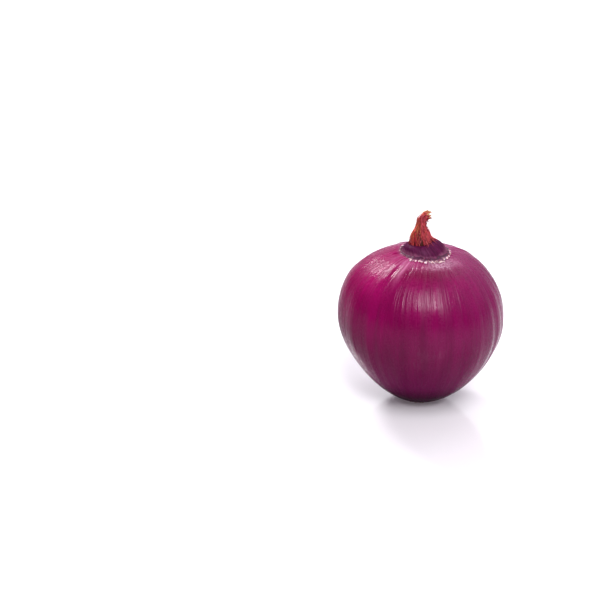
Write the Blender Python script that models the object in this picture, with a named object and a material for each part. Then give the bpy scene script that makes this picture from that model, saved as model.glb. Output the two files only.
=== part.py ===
# A peeled red onion that stands on its trimmed root plate, with its withered neck on top.
# Metres, +Z up. The origin is the centre of the flat spot that it rests on.

import math
import random

import bmesh
import bpy
from mathutils import Matrix, Vector
from mathutils.geometry import interpolate_bezier

MM = 0.001
FULL_TURN = 2 * math.pi

# Driving dimensions of the bulb
BULB_RADIUS = 36.0 * MM
EQUATOR_HEIGHT = 39.7 * MM
BULB_SIDES = 96

# The shoulder: a lip where the dry skin was torn off, and the collar that rises inside it
LIP_RADIUS = 10.4 * MM
LIP_HEIGHT = 69.9 * MM
LIP_RISE = 0.3 * MM
SEAT_RADIUS = 5.3 * MM
SEAT_HEIGHT = 73.4 * MM
SEAT_DEPTH = 1.2 * MM
COLLAR_HUMP = 1.2 * MM

# How far the bulb's axis strays sideways on the way up: height, then shift along X
AXIS_KNOTS = (
    (0.0 * MM, 0.0 * MM),
    (58.0 * MM, -1.3 * MM),
    (69.9 * MM, 0.0 * MM),
    (73.4 * MM, -1.6 * MM),
)

# The dimple under the bulb that holds the root plate
DIMPLE_RADIUS = 7.4 * MM
DIMPLE_RIM_HEIGHT = 1.9 * MM
DIMPLE_DEPTH = 1.6 * MM

# Space between two pieces that meet
JOINT_GAP = 0.3 * MM

# Relief of the skin: lobes that put it out of round as (count, depth, turn), and ribs over its veins
LOBES = ((2, 0.35 * MM, 1.4), (3, 0.30 * MM, 1.7), (5, 0.22 * MM, 4.5), (8, 0.12 * MM, 1.2))
RIB_COUNT = 24
RIB_HEIGHT = 0.14 * MM
RIB_SWAY = 0.35

# The withered neck, along a centre line that leans over at the top
NECK_SIDES = 27
NECK_RINGS = 17
NECK_FOOT_RADIUS = 5.0 * MM
NECK_WAIST_RADIUS = 1.75 * MM
NECK_WAIST_SHARE = 0.46
NECK_RISE = 9.2 * MM
NECK_TIP_LIFT = 4.2 * MM
NECK_TIP_REACH = 3.4 * MM
NECK_FLUTES = 9
FLUTE_DEPTH = 0.13
NECK_TWIST = 0.17

# Fibres that fray out of the neck's tip
FRAY_COUNT = 6
FRAY_LENGTH = 1.9 * MM
FRAY_THICKNESS = 0.42 * MM

# Dry sheath scraps round the neck's foot: angle in degrees, height, width, lean of the tip
SCRAP_THICKNESS = 0.75 * MM
SCRAP_RINGS = 6
SCRAP_SIDES = 8
SCRAPS = (
    (190, 6.6 * MM, 3.6 * MM, 2.5 * MM),
    (235, 4.4 * MM, 3.2 * MM, 0.8 * MM),
    (285, 5.2 * MM, 3.0 * MM, 0.9 * MM),
    (340, 6.0 * MM, 3.4 * MM, 1.3 * MM),
    (28, 4.6 * MM, 3.2 * MM, 1.5 * MM),
    (84, 5.8 * MM, 3.4 * MM, 1.0 * MM),
    (138, 4.2 * MM, 3.2 * MM, 1.7 * MM),
)

# The root plate and its clipped, dry roots
PLATE_RADIUS = DIMPLE_RADIUS - JOINT_GAP
PLATE_CHAMFER = 0.6 * MM
PLATE_SIDES = 48
ROOT_COUNT = 38
ROOT_SIDES = 6
ROOT_RINGS = 4
ROOT_RADIUS = 0.36 * MM
ROOT_LENGTH = 1.7 * MM
ROOT_SUNK = 0.9 * MM
ROOT_START_HEIGHT = 1.0 * MM
ROOT_CLEARANCE = 0.18 * MM
ROOT_SWEEP = 0.6 * MM
ROOT_SEED = 11


def clear_scene():
    for leftover in list(bpy.data.objects):
        bpy.data.objects.remove(leftover)


def plain_material(name, colour, roughness):
    material = bpy.data.materials.new(name)
    material.use_nodes = True
    shader = material.node_tree.nodes["Principled BSDF"]
    shader.inputs["Base Color"].default_value = (*colour, 1.0)
    shader.inputs["Roughness"].default_value = roughness
    shader.inputs["Metallic"].default_value = 0.0
    return material


def add_object(name, shape, material, crease_angle):
    mesh = bpy.data.meshes.new(name)
    shape.to_mesh(mesh)
    shape.free()
    mesh.materials.append(material)
    mesh.shade_smooth()
    mesh.set_sharp_from_angle(angle=math.radians(crease_angle))
    made = bpy.data.objects.new(name, mesh)
    bpy.context.scene.collection.objects.link(made)
    return made


def curve_points(start, start_handle, end_handle, end, steps):
    """Points along one arc of an outline in the XZ plane, without its last point."""
    knots = [Vector((radius, 0, height)) for radius, height in (start, start_handle, end_handle, end)]
    return interpolate_bezier(*knots, steps + 1)[:-1]


def bulb_outline():
    """The bulb's half outline, from its dimple's ceiling round the outside to the neck's seat."""
    dimple_rim = (DIMPLE_RADIUS, DIMPLE_RIM_HEIGHT)
    equator = (BULB_RADIUS, EQUATOR_HEIGHT)
    lip = (LIP_RADIUS, LIP_HEIGHT)
    groove = (LIP_RADIUS - 0.45 * MM, LIP_HEIGHT + 0.1 * MM)
    seat_rim = (SEAT_RADIUS, SEAT_HEIGHT)
    underside = curve_points(dimple_rim, (16.3 * MM, 1.4 * MM), (BULB_RADIUS, 23.1 * MM), equator, 15)
    upper = curve_points(equator, (BULB_RADIUS, 56.6 * MM), (26.4 * MM, 66.9 * MM), lip, 15)
    lip_crest = [Vector((LIP_RADIUS - 0.15 * MM, 0, LIP_HEIGHT + LIP_RISE))]
    collar = curve_points(groove, (9.2 * MM, 71.7 * MM), (7.3 * MM, 73.8 * MM), seat_rim, 5)
    ceiling = DIMPLE_RIM_HEIGHT + DIMPLE_DEPTH
    seat_floor = SEAT_HEIGHT - SEAT_DEPTH
    dimple = [Vector((0, 0, ceiling)), Vector((DIMPLE_RADIUS, 0, ceiling))]
    seat = [
        Vector((SEAT_RADIUS, 0, SEAT_HEIGHT)),
        Vector((SEAT_RADIUS, 0, seat_floor)),
        Vector((0, 0, seat_floor)),
    ]
    return dimple + underside + upper + [Vector((LIP_RADIUS, 0, LIP_HEIGHT))] + lip_crest + collar + seat


def turned(outline, sides):
    """A closed solid turned from an outline whose two ends lie on the Z axis."""
    shape = bmesh.new()
    points = [shape.verts.new(point) for point in outline]
    edges = [shape.edges.new(pair) for pair in zip(points, points[1:])]
    bmesh.ops.spin(
        shape,
        geom=points + edges,
        cent=(0, 0, 0),
        axis=(0, 0, 1),
        angle=FULL_TURN,
        steps=sides,
        use_merge=True,
    )
    bmesh.ops.remove_doubles(shape, verts=shape.verts, dist=0.01 * MM)
    bmesh.ops.recalc_face_normals(shape, faces=shape.faces)
    return shape


def bridged(shape, loops):
    """Skins the loops of edges in turn, closes both ends, and points every face outward."""
    for lower, upper in zip(loops, loops[1:]):
        bmesh.ops.bridge_loops(shape, edges=lower + upper)
    bmesh.ops.holes_fill(shape, edges=loops[0] + loops[-1], sides=0)
    bmesh.ops.recalc_face_normals(shape, faces=shape.faces)
    return shape


def new_ring(shape, radius, sides):
    """A flat circle's points, and its loop of edges."""
    made = bmesh.ops.create_circle(shape, cap_ends=False, radius=radius, segments=sides)
    verts = made["verts"]
    return verts, list({edge for vert in verts for edge in vert.link_edges})


def relief(angle, height):
    """How far the skin stands out at this place. It fades out towards the neck and the root plate."""
    share = (height - DIMPLE_RIM_HEIGHT) / (LIP_HEIGHT - DIMPLE_RIM_HEIGHT)
    fade = math.sin(math.pi * min(max(share, 0.0), 1.0)) ** 0.6
    lobes = sum(depth * math.cos(count * angle + turn) for count, depth, turn in LOBES)
    swayed = angle + RIB_SWAY * math.sin(3 * angle + 0.8) / 3
    return fade * (lobes + RIB_HEIGHT * math.cos(RIB_COUNT * swayed))


def axis_shift(height):
    """How far the axis has strayed at this height, easing from each knot to the next."""
    if height <= AXIS_KNOTS[0][0]:
        return AXIS_KNOTS[0][1]
    for (low, low_shift), (high, high_shift) in zip(AXIS_KNOTS, AXIS_KNOTS[1:]):
        if height <= high:
            share = (height - low) / (high - low)
            eased = share * share * (3 - 2 * share) if low > 0 else share
            return low_shift + (high_shift - low_shift) * eased
    return AXIS_KNOTS[-1][1]


def collar_lift(angle, height):
    """How far the collar is drawn up on its +X side, growing from its groove to the seat's rim."""
    share = (height - LIP_HEIGHT) / (SEAT_HEIGHT - LIP_HEIGHT)
    return COLLAR_HUMP * max(share, 0.0) * math.cos(angle / 2) ** 4


def make_bulb():
    shape = turned(bulb_outline(), BULB_SIDES)
    for vert in shape.verts:
        radius = math.hypot(vert.co.x, vert.co.y)
        angle = math.atan2(vert.co.y, vert.co.x)
        height = vert.co.z
        in_seat = radius < SEAT_RADIUS + 0.01 * MM and height > LIP_HEIGHT
        on_seat_floor = in_seat and height < SEAT_HEIGHT - 0.5 * SEAT_DEPTH
        vert.co.x += axis_shift(SEAT_HEIGHT if in_seat else height)
        if LIP_RADIUS < radius and DIMPLE_RIM_HEIGHT < height:
            stand_out = relief(angle, height)
            vert.co.x += stand_out * math.cos(angle)
            vert.co.y += stand_out * math.sin(angle)
        elif not on_seat_floor:
            vert.co.z += collar_lift(angle, height)
    bmesh.ops.recalc_face_normals(shape, faces=shape.faces)
    return add_object("bulb", shape, plain_material("bulb_skin", (0.20, 0.012, 0.085), 0.28), 40)


def neck_foot():
    """The middle of the neck's foot, just clear of the floor of its seat."""
    return Vector((axis_shift(SEAT_HEIGHT), 0, SEAT_HEIGHT - SEAT_DEPTH + JOINT_GAP))


def neck_centre(share):
    """A point on the neck's centre line, from its foot (0) up the shaft and over to its tip (1)."""
    knots = (
        Vector((0, 0, 0)),
        Vector((-0.3 * MM, 0, NECK_RISE)),
        Vector((-0.7 * MM, 0, NECK_RISE + NECK_TIP_LIFT)),
        Vector((NECK_TIP_REACH, 0, NECK_RISE + NECK_TIP_LIFT - 0.3 * MM)),
    )
    rest = 1 - share
    weights = (rest**3, 3 * rest * rest * share, 3 * rest * share * share, share**3)
    return neck_foot() + sum((knot * weight for knot, weight in zip(knots, weights)), Vector())


def neck_radius(share):
    """Wide at the foot, drawn in to a waist, and swollen a little again at the frayed tip."""
    drawn_in = 0.5 + 0.5 * math.cos(math.pi * min(share / NECK_WAIST_SHARE, 1.0))
    swollen = 0.12 * math.sin(math.pi * max(0.0, (share - 0.75) / 0.25))
    return NECK_WAIST_RADIUS * (1 + swollen) + (NECK_FOOT_RADIUS - NECK_WAIST_RADIUS) * drawn_in


def ring_place(share):
    """The matrix that lays a flat ring square across the neck's centre line."""
    ahead = Vector((0, 0, 1))
    if share > 0:
        ahead = (neck_centre(min(share + 0.01, 1.0)) - neck_centre(share - 0.01)).normalized()
    side = Vector((0, 1, 0))
    turn = Matrix((side.cross(ahead).normalized(), side, ahead)).transposed().to_4x4()
    return Matrix.Translation(neck_centre(share)) @ turn


def fluted_ring(shape, share):
    """One ring of the neck, pleated by its dry flutes. Inside the seat it stays round."""
    verts, edges = new_ring(shape, neck_radius(share), NECK_SIDES)
    place = ring_place(share)
    depth = FLUTE_DEPTH * min(1.0, max(0.0, share - 0.05) / 0.1)
    for vert in verts:
        angle = math.atan2(vert.co.y, vert.co.x) + NECK_TWIST * FULL_TURN * share
        pleat = math.cos(NECK_FLUTES * angle) + 0.5 * math.cos(3 * angle + 1.0)
        vert.co = place @ (vert.co * (1 + depth * pleat))
    return edges


def neck_shaft():
    """The neck's solid core, from the foot in its seat to the tip."""
    shape = bmesh.new()
    shares = [number / (NECK_RINGS - 1) for number in range(NECK_RINGS)]
    return bridged(shape, [fluted_ring(shape, share) for share in shares])


def sheath_scrap(angle, height, width, lean):
    """One dry scrap of leaf sheath: a tapered, cupped strip whose root is sunk in the neck's foot."""
    shape = bmesh.new()
    loops = []
    for number in range(SCRAP_RINGS):
        share = number / (SCRAP_RINGS - 1)
        verts, edges = new_ring(shape, 0.5, SCRAP_SIDES)
        out = NECK_FOOT_RADIUS * 0.8 - 1.7 * MM * share + lean * share * share
        breadth = width * (1 - 0.7 * share**2)
        thickness = SCRAP_THICKNESS * (1.5 - 0.5 * share)
        for vert in verts:
            across = vert.co.x * breadth
            cupped = across * across / (1.6 * NECK_FOOT_RADIUS)
            upward = 0.5 * MM + (height + SEAT_DEPTH) * share
            vert.co = Vector((out + vert.co.y * thickness - cupped, across, upward))
        loops.append(edges)
    bridged(shape, loops)
    turn = Matrix.Rotation(math.radians(angle), 3, "Z")
    bmesh.ops.rotate(shape, cent=(0, 0, 0), matrix=turn, verts=shape.verts)
    bmesh.ops.translate(shape, vec=neck_foot(), verts=shape.verts)
    return shape


def fray_fibre(number):
    """One fibre that frays out of the tip, with its own root sunk in the shaft."""
    shape = bmesh.new()
    place = ring_place(0.94)
    spread = FULL_TURN * number / FRAY_COUNT + 0.4
    length = FRAY_LENGTH * (0.75 + 0.25 * math.cos(2.3 * number))
    loops = []
    for step in range(4):
        share = step / 3
        verts, edges = new_ring(shape, FRAY_THICKNESS * (1 - 0.2 * share), 6)
        out = NECK_WAIST_RADIUS * (0.5 + 0.55 * share * share)
        for vert in verts:
            fibre_x = vert.co.x + out * math.cos(spread)
            fibre_y = vert.co.y + out * math.sin(spread)
            vert.co = place @ Vector((fibre_x, fibre_y, length * share))
        loops.append(edges)
    return bridged(shape, loops)


def fuse(body, scraps):
    """Joins loose shapes to the body they grow from, as one solid, and removes the loose ones."""
    loose = bpy.data.collections.new(body.name + "_loose")
    bpy.context.scene.collection.children.link(loose)
    for scrap in scraps:
        bpy.context.scene.collection.objects.unlink(scrap)
        loose.objects.link(scrap)
    union = body.modifiers.new("fuse", "BOOLEAN")
    union.operation = "UNION"
    union.solver = "EXACT"
    union.operand_type = "COLLECTION"
    union.collection = loose
    graph = bpy.context.evaluated_depsgraph_get()
    fused = bpy.data.meshes.new_from_object(body.evaluated_get(graph))
    body.modifiers.remove(union)
    body.data = fused
    for scrap in scraps:
        bpy.data.objects.remove(scrap)
    bpy.data.collections.remove(loose)


def make_neck():
    dry_sheath = plain_material("dry_sheath", (0.30, 0.055, 0.045), 0.7)
    neck = add_object("dried_neck", neck_shaft(), dry_sheath, 50)
    loose = [sheath_scrap(*scrap) for scrap in SCRAPS]
    loose += [fray_fibre(number) for number in range(FRAY_COUNT)]
    fuse(neck, [add_object(f"scrap_{number}", shape, dry_sheath, 50) for number, shape in enumerate(loose)])
    return neck


def plate_outline():
    """The root plate's half outline: flat underneath, with a worn edge, and filling the dimple."""
    top = DIMPLE_RIM_HEIGHT + DIMPLE_DEPTH - JOINT_GAP
    corners = (
        (0, 0),
        (PLATE_RADIUS - PLATE_CHAMFER, 0),
        (PLATE_RADIUS, PLATE_CHAMFER),
        (PLATE_RADIUS, top),
        (0, top),
    )
    return [Vector((radius, 0, height)) for radius, height in corners]


def root_stub(angle, length, thickness, rise, sweep):
    """One clipped root that leaves the plate's edge, with its own root end sunk in the plate."""
    shape = bmesh.new()
    loops = []
    for number in range(ROOT_RINGS):
        share = number / (ROOT_RINGS - 1)
        verts, edges = new_ring(shape, thickness * (1 - 0.3 * share), ROOT_SIDES)
        out = PLATE_RADIUS - ROOT_SUNK + (ROOT_SUNK + length) * share
        height = max(ROOT_START_HEIGHT + rise * share**1.5, thickness + ROOT_CLEARANCE)
        for vert in verts:
            vert.co = Vector((out, vert.co.x + sweep * share * share, height + vert.co.y))
        loops.append(edges)
    bridged(shape, loops)
    bmesh.ops.rotate(shape, cent=(0, 0, 0), matrix=Matrix.Rotation(angle, 3, "Z"), verts=shape.verts)
    return shape


def make_root_plate():
    dry_root = plain_material("dry_root", (0.42, 0.29, 0.16), 0.85)
    plate = add_object("root_plate", turned(plate_outline(), PLATE_SIDES), dry_root, 40)
    draw = random.Random(ROOT_SEED)
    stubs = []
    for number in range(ROOT_COUNT):
        angle = FULL_TURN * (number + draw.uniform(-0.2, 0.2)) / ROOT_COUNT
        length = ROOT_LENGTH * draw.uniform(0.35, 1.0)
        thickness = ROOT_RADIUS * draw.uniform(0.8, 1.0)
        rise = draw.uniform(-0.4, 0.2) * MM
        sweep = ROOT_SWEEP * draw.uniform(-1.0, 1.0) * length / ROOT_LENGTH
        shape = root_stub(angle, length, thickness, rise, sweep)
        stubs.append(add_object(f"stub_{number}", shape, dry_root, 40))
    fuse(plate, stubs)
    return plate


clear_scene()
make_bulb()
make_neck()
make_root_plate()
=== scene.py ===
# %% [markdown]
# # A red onion on a white table
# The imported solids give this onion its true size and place: a bulb, a withered neck and a root plate.
# Here each of them gets the finish of the real thing. The bulb is turned again with enough rings to
# carry its veins and its torn skin, and the neck and the roots are built up from single dry strips.

import bisect
import math
import random

import bmesh
import bpy
from mathutils import Matrix, Vector, noise
from mathutils.bvhtree import BVHTree
from mathutils.geometry import interpolate_bezier


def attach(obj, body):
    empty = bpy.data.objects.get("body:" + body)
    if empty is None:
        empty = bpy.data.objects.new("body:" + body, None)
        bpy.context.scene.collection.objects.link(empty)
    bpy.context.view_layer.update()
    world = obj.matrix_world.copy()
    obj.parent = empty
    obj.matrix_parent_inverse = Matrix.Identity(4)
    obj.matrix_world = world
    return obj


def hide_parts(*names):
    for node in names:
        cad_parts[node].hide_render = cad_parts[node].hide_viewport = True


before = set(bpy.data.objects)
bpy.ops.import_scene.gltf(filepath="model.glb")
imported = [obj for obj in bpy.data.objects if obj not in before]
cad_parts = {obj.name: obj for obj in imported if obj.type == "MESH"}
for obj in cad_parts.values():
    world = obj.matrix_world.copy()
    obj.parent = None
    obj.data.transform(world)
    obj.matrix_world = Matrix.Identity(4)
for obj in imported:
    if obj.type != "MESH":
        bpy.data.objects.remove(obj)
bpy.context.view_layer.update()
MM = 0.001
FULL_TURN = 2 * math.pi

# %% [markdown]
# ## The camera
# The picture was taken from a little above, with a long lens. A fit of the bulb's outline gave a tilt
# of 22 degrees and a distance of about 64 cm with an 85 mm lens. The camera is built from two
# directions: the one it looks along, and the one that points up in the picture. The onion stands right
# of the middle, so the camera is moved to the left instead of being turned.


# %% Camera
def add_object(name, data):
    """An object with this data, put in the scene."""
    made = bpy.data.objects.new(name, data)
    bpy.context.scene.collection.objects.link(made)
    return made


TILT = math.radians(22)
CAMERA_DISTANCE, CAMERA_LIFT, CAMERA_ASIDE = 637.1 * MM, 43.3 * MM, -53.7 * MM
look = Vector((0, math.cos(TILT), -math.sin(TILT)))
picture_up = Vector((0, math.sin(TILT), math.cos(TILT)))
camera_data = bpy.data.cameras.new("camera")
camera_data.lens = 85
camera_data.sensor_width = 36
camera = add_object("camera", camera_data)
camera.location = -CAMERA_DISTANCE * look + CAMERA_LIFT * picture_up + Vector((CAMERA_ASIDE, 0, 0))
camera.rotation_euler = (math.radians(90) - TILT, 0, 0)
bpy.context.scene.camera = camera
print("camera at", tuple(round(value, 3) for value in camera.location))

# %% [markdown]
# ## Nodes
# Light and finishes are networks of nodes. A socket knows which tree it belongs to, so a helper that
# is given a socket adds its own node to the same tree. It hands back the socket that holds the result,
# ready for the next helper.


# %% Node helpers
def fill(node, inputs):
    """Gives a node its inputs. The socket of another node is linked, any other value is set."""
    for key, value in inputs.items():
        if isinstance(value, bpy.types.NodeSocket):
            node.id_data.links.new(value, node.inputs[key])
        else:
            node.inputs[key].default_value = value


def add_node(tree, kind, inputs, **settings):
    """Adds a node to a tree. Its settings come first, because some of them change its inputs."""
    node = tree.nodes.new("ShaderNode" + kind)
    for name, value in settings.items():
        setattr(node, name, value)
    fill(node, inputs)
    return node


def parts_of(vector):
    """The three parts of a vector, X, Y and Z."""
    return add_node(vector.id_data, "SeparateXYZ", {"Vector": vector}).outputs


def ranged(source, low, high, to_low=0.0, to_high=1.0, smooth=False):
    """Maps a value from one range to another, held inside the second."""
    inputs = {"Value": source, "From Min": low, "From Max": high, "To Min": to_low, "To Max": to_high}
    curve = "SMOOTHSTEP" if smooth else "LINEAR"
    return add_node(source.id_data, "MapRange", inputs, interpolation_type=curve).outputs["Result"]


def times(first, second):
    """A socket multiplied by another socket or by a plain number."""
    return add_node(first.id_data, "Math", {0: first, 1: second}, operation="MULTIPLY").outputs["Value"]


def plus(total, *others):
    """Sockets added up, one after the other."""
    for other in others:
        total = add_node(total.id_data, "Math", {0: total, 1: other}, operation="ADD").outputs["Value"]
    return total


def seen_by_lens(tree):
    """1 for what the camera sees directly, 0 for light on its way to other surfaces."""
    return add_node(tree, "LightPath", {}).outputs["Is Camera Ray"]

# %% [markdown]
# ## Light
# A white table in a bright studio shows no horizon: the table runs out of the picture and burns out to
# white. The room is bright behind the onion and dark behind the camera, and that is what keeps the
# purple deep in the middle and draws a pale rim round the edge. Four soft lights make the highlights.
# Where a highlight sits on a round thing tells where its light stands, because the skin is a mirror
# that faces halfway between the lens and the lamp. The two in front, one a little lower than the
# other, make the long highlight in the middle with its brighter lower half.

# %% Room light
BRIGHT_SIDE = (0.55, 0.83, 0.10)
WHITE_BACKDROP = 1.08
view = bpy.context.scene.view_settings
view.view_transform = "Standard"
view.look = "Medium High Contrast"
room = bpy.data.worlds.new("studio")
bpy.context.scene.world = room
room.use_nodes = True
tree = room.node_tree
tree.nodes.clear()
direction = add_node(tree, "TexCoord", {}).outputs["Generated"]
facing_bright = add_node(tree, "VectorMath", {0: direction, 1: BRIGHT_SIDE}, operation="DOT_PRODUCT")
front_to_back = ranged(facing_bright.outputs["Value"], -0.3, 0.9, 0.20, 0.95)
rising = ranged(parts_of(direction)["Z"], 0.0, 0.45, 0.35, 1.0)
brightness = {"Factor": seen_by_lens(tree), "A": times(front_to_back, rising), "B": WHITE_BACKDROP}
strength = add_node(tree, "Mix", brightness).outputs["Result"]
background = add_node(tree, "Background", {"Color": (0.965, 0.955, 1.0, 1.0), "Strength": strength})
add_node(tree, "OutputWorld", {"Surface": background.outputs["Background"]})
print("room light: dark in front, bright behind")

# %% Soft lights
LIGHT_DISTANCE = 1.1
BULB_MIDDLE = Vector((0, 0, 40 * MM))
LIGHTS = (
    # name, direction from the bulb, width and height in metres, power in watts
    ("front_light", (0.055, -0.63, 0.77), 0.46, 0.70, 8.7),
    ("low_front_light", (0.09, -0.75, 0.655), 0.38, 0.34, 2.8),
    ("back_left_light", (-0.405, 0.68, 0.615), 0.30, 0.22, 7.8),
    ("top_right_light", (0.31, 0.434, 0.845), 0.6, 0.4, 1.6),
)
for name, towards, width, height, power in LIGHTS:
    data = bpy.data.lights.new(name, "AREA")
    data.shape = "RECTANGLE"
    data.size, data.size_y = width, height
    data.energy = power
    light = add_object(name, data)
    towards = Vector(towards).normalized()
    light.location = BULB_MIDDLE + towards * LIGHT_DISTANCE
    light.rotation_euler = towards.to_track_quat("Z", "Y").to_euler()
print("soft lights:", [item.name for item in bpy.data.lights])

# %% [markdown]
# ## The table
# The table is a wide white sheet with a slight gloss. It shows a soft mirror image of the onion just
# below it, and a soft shadow. In the photo light bounces about under the onion and the table burns out
# to white further away, so the sheet glows a little. One part of the glow is for everything. The other
# is only for the lens: strong far away, where it hides the horizon, and faint where the onion stands,
# where it lifts the black line of contact. The table isn't part of the onion.


# %% Table
def new_material(name):
    """A material, its shader and its tree of nodes."""
    material = bpy.data.materials.new(name)
    material.use_nodes = True
    return material, material.node_tree.nodes["Principled BSDF"], material.node_tree


def add_piece(name, shape, material):
    """Turns a finished bmesh into an object at the origin, smooth shaded."""
    mesh = bpy.data.meshes.new(name)
    shape.to_mesh(mesh)
    shape.free()
    mesh.materials.append(material)
    mesh.shade_smooth()
    return add_object(name, mesh)


def object_place(tree):
    """The place on a piece, in metres."""
    return add_node(tree, "TexCoord", {}).outputs["Object"]


TABLE_HALF = 6.0
white_table, shader, tree = new_material("white_table")
from_middle = add_node(tree, "VectorMath", {0: object_place(tree)}, operation="LENGTH").outputs["Value"]
glow = ranged(from_middle, 9 * MM, 12 * MM, 0.0, 0.08)
far_away = ranged(from_middle, 0.26, 0.85)
close_by = ranged(from_middle, 8 * MM, 15 * MM, 0.11, 0.0)
fill(shader, {
    "Base Color": (0.765, 0.755, 0.785, 1.0),
    "Roughness": 0.14,
    "IOR": 1.7,
    "Emission Color": (1.0, 0.84, 0.96, 1.0),
    "Emission Strength": plus(times(seen_by_lens(tree), plus(far_away, close_by)), glow),
})
shape = bmesh.new()
bmesh.ops.create_grid(shape, x_segments=1, y_segments=1, size=TABLE_HALF)
table = add_piece("table", shape, white_table)
print("table:", 2 * TABLE_HALF, "m wide")

# %% [markdown]
# ## The bulb's outline
# A bulb is grown, not turned, but its outline is close to a turned one. Half the outline goes from the
# dimple that holds the root plate, round the belly to the shoulder, over the lip where the dry skin was
# torn off, up the collar and into the seat of the neck. The arcs are those of the solids. Their points
# stand close together at the shoulder, where the skin is creased, and further apart on the belly. Each
# point remembers how far along the outline it lies, because the finishes follow that path.

# %% Outline
BULB_RADIUS = 36.0 * MM
DIMPLE_RADIUS = 7.4 * MM
DIMPLE_RIM_HEIGHT = 1.9 * MM
DIMPLE_DEPTH = 1.6 * MM
EQUATOR_HEIGHT = 39.7 * MM
LIP_RADIUS = 10.4 * MM
LIP_HEIGHT = 69.9 * MM
LIP_RISE = 0.3 * MM
SEAT_RADIUS = 5.3 * MM
SEAT_HEIGHT = 73.4 * MM
SEAT_DEPTH = 1.2 * MM
WIDE_GAP, BASE_GAP, CLOSE_GAP = 1.25 * MM, 0.5 * MM, 0.22 * MM
FINE_STEPS = 1500


def graded_arc(start, start_handle, end_handle, end, first_gap, last_gap):
    """Points along one arc, without its last point. Their gaps change evenly from first to last."""
    knots = [Vector((radius, 0, height)) for radius, height in (start, start_handle, end_handle, end)]
    fine = interpolate_bezier(*knots, FINE_STEPS)
    walked = [0.0]
    for before, after in zip(fine, fine[1:]):
        walked.append(walked[-1] + (after - before).length)
    steps = round(2 * walked[-1] / (first_gap + last_gap))
    chosen = []
    for number in range(steps):
        share = number / steps
        reached = share * (2 * first_gap + (last_gap - first_gap) * share) / (first_gap + last_gap)
        chosen.append(fine[bisect.bisect_left(walked, reached * walked[-1])])
    return chosen


dimple_rim = (DIMPLE_RADIUS, DIMPLE_RIM_HEIGHT)
equator = (BULB_RADIUS, EQUATOR_HEIGHT)
lip = (LIP_RADIUS, LIP_HEIGHT)
groove = (LIP_RADIUS - 0.45 * MM, LIP_HEIGHT + 0.1 * MM)
seat_rim = (SEAT_RADIUS, SEAT_HEIGHT)
ceiling = DIMPLE_RIM_HEIGHT + DIMPLE_DEPTH
seat_floor = SEAT_HEIGHT - SEAT_DEPTH

outline = [Vector((0, 0, ceiling)), Vector((DIMPLE_RADIUS - 0.1 * MM, 0, ceiling))]
base_handles = (16.3 * MM, 1.4 * MM), (BULB_RADIUS, 23.1 * MM)
outline += graded_arc(dimple_rim, *base_handles, equator, BASE_GAP, WIDE_GAP)
top_handles = (BULB_RADIUS, 56.6 * MM), (26.4 * MM, 66.9 * MM)
outline += graded_arc(equator, *top_handles, lip, WIDE_GAP, CLOSE_GAP)
outline += [Vector((LIP_RADIUS, 0, LIP_HEIGHT)), Vector((LIP_RADIUS - 0.15 * MM, 0, LIP_HEIGHT + LIP_RISE))]
lip_index = len(outline) - 1
outline += graded_arc(groove, (9.2 * MM, 71.4 * MM), (7.4 * MM, 73.3 * MM), seat_rim, CLOSE_GAP, CLOSE_GAP)
outline += [Vector((SEAT_RADIUS, 0, height)) for height in (SEAT_HEIGHT, seat_floor)]
outline.append(Vector((0, 0, seat_floor)))
trail = [0.0]
for before, after in zip(outline, outline[1:]):
    trail.append(trail[-1] + (after - before).length)
lip_trail = trail[lip_index]
print(len(outline), "points,", round(trail[-1] / MM, 1), "mm long, lip at", round(lip_trail / MM, 1))

# %% [markdown]
# ## Relief of the skin
# No onion is truly round. Slow waves put it out of round, and ribs run from root to neck over the
# veins of the scale. These are the same waves as in the solids. Finer veins come on top, from noise
# that is read on a circle, so it closes on itself and no two veins are alike. Close to the lip the
# drying skin has drawn together, so there the veins turn into short pleats.

# %% Relief
LOBES = ((2, 0.35 * MM, 1.4), (3, 0.30 * MM, 1.7), (5, 0.22 * MM, 4.5), (8, 0.12 * MM, 1.2))
RIB_COUNT = 24
RIB_HEIGHT = 0.14 * MM
RIB_SWAY = 0.35
COLLAR_HUMP = 1.2 * MM
AXIS_KNOTS = ((0.0 * MM, 0.0 * MM), (58.0 * MM, -1.3 * MM), (69.9 * MM, 0.0 * MM), (73.4 * MM, -1.6 * MM))


def clamp(value, low=0.0, high=1.0):
    return min(max(value, low), high)


def bell(value, middle, half_width):
    """1 at the middle, falling off smoothly on both sides."""
    return math.exp(-(((value - middle) / half_width) ** 2))


def spoke(angle):
    """The flat direction away from the axis at this angle."""
    return Vector((math.cos(angle), math.sin(angle), 0))


def square_to(outward):
    """The flat direction at a right angle to a spoke."""
    return Vector((-outward.y, outward.x, 0))


def ring_noise(outward, fineness, level):
    """Noise round the axis. The fineness is how many marks fit in a radius, the level which noise."""
    return noise.noise(Vector((fineness * outward.x, fineness * outward.y, level)))


def face_outwards(shape):
    bmesh.ops.recalc_face_normals(shape, faces=shape.faces)


def turn_between(angle, middle):
    """The angle from the middle, between minus and plus half a turn."""
    return (angle - middle + math.pi) % FULL_TURN - math.pi


def near(angle, degrees, width, right_width=None):
    """1 in this direction, falling off on both sides. The right side can have a width of its own."""
    turned = turn_between(angle, math.radians(degrees))
    return bell(turned, 0, width if turned < 0 or right_width is None else right_width)


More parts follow.
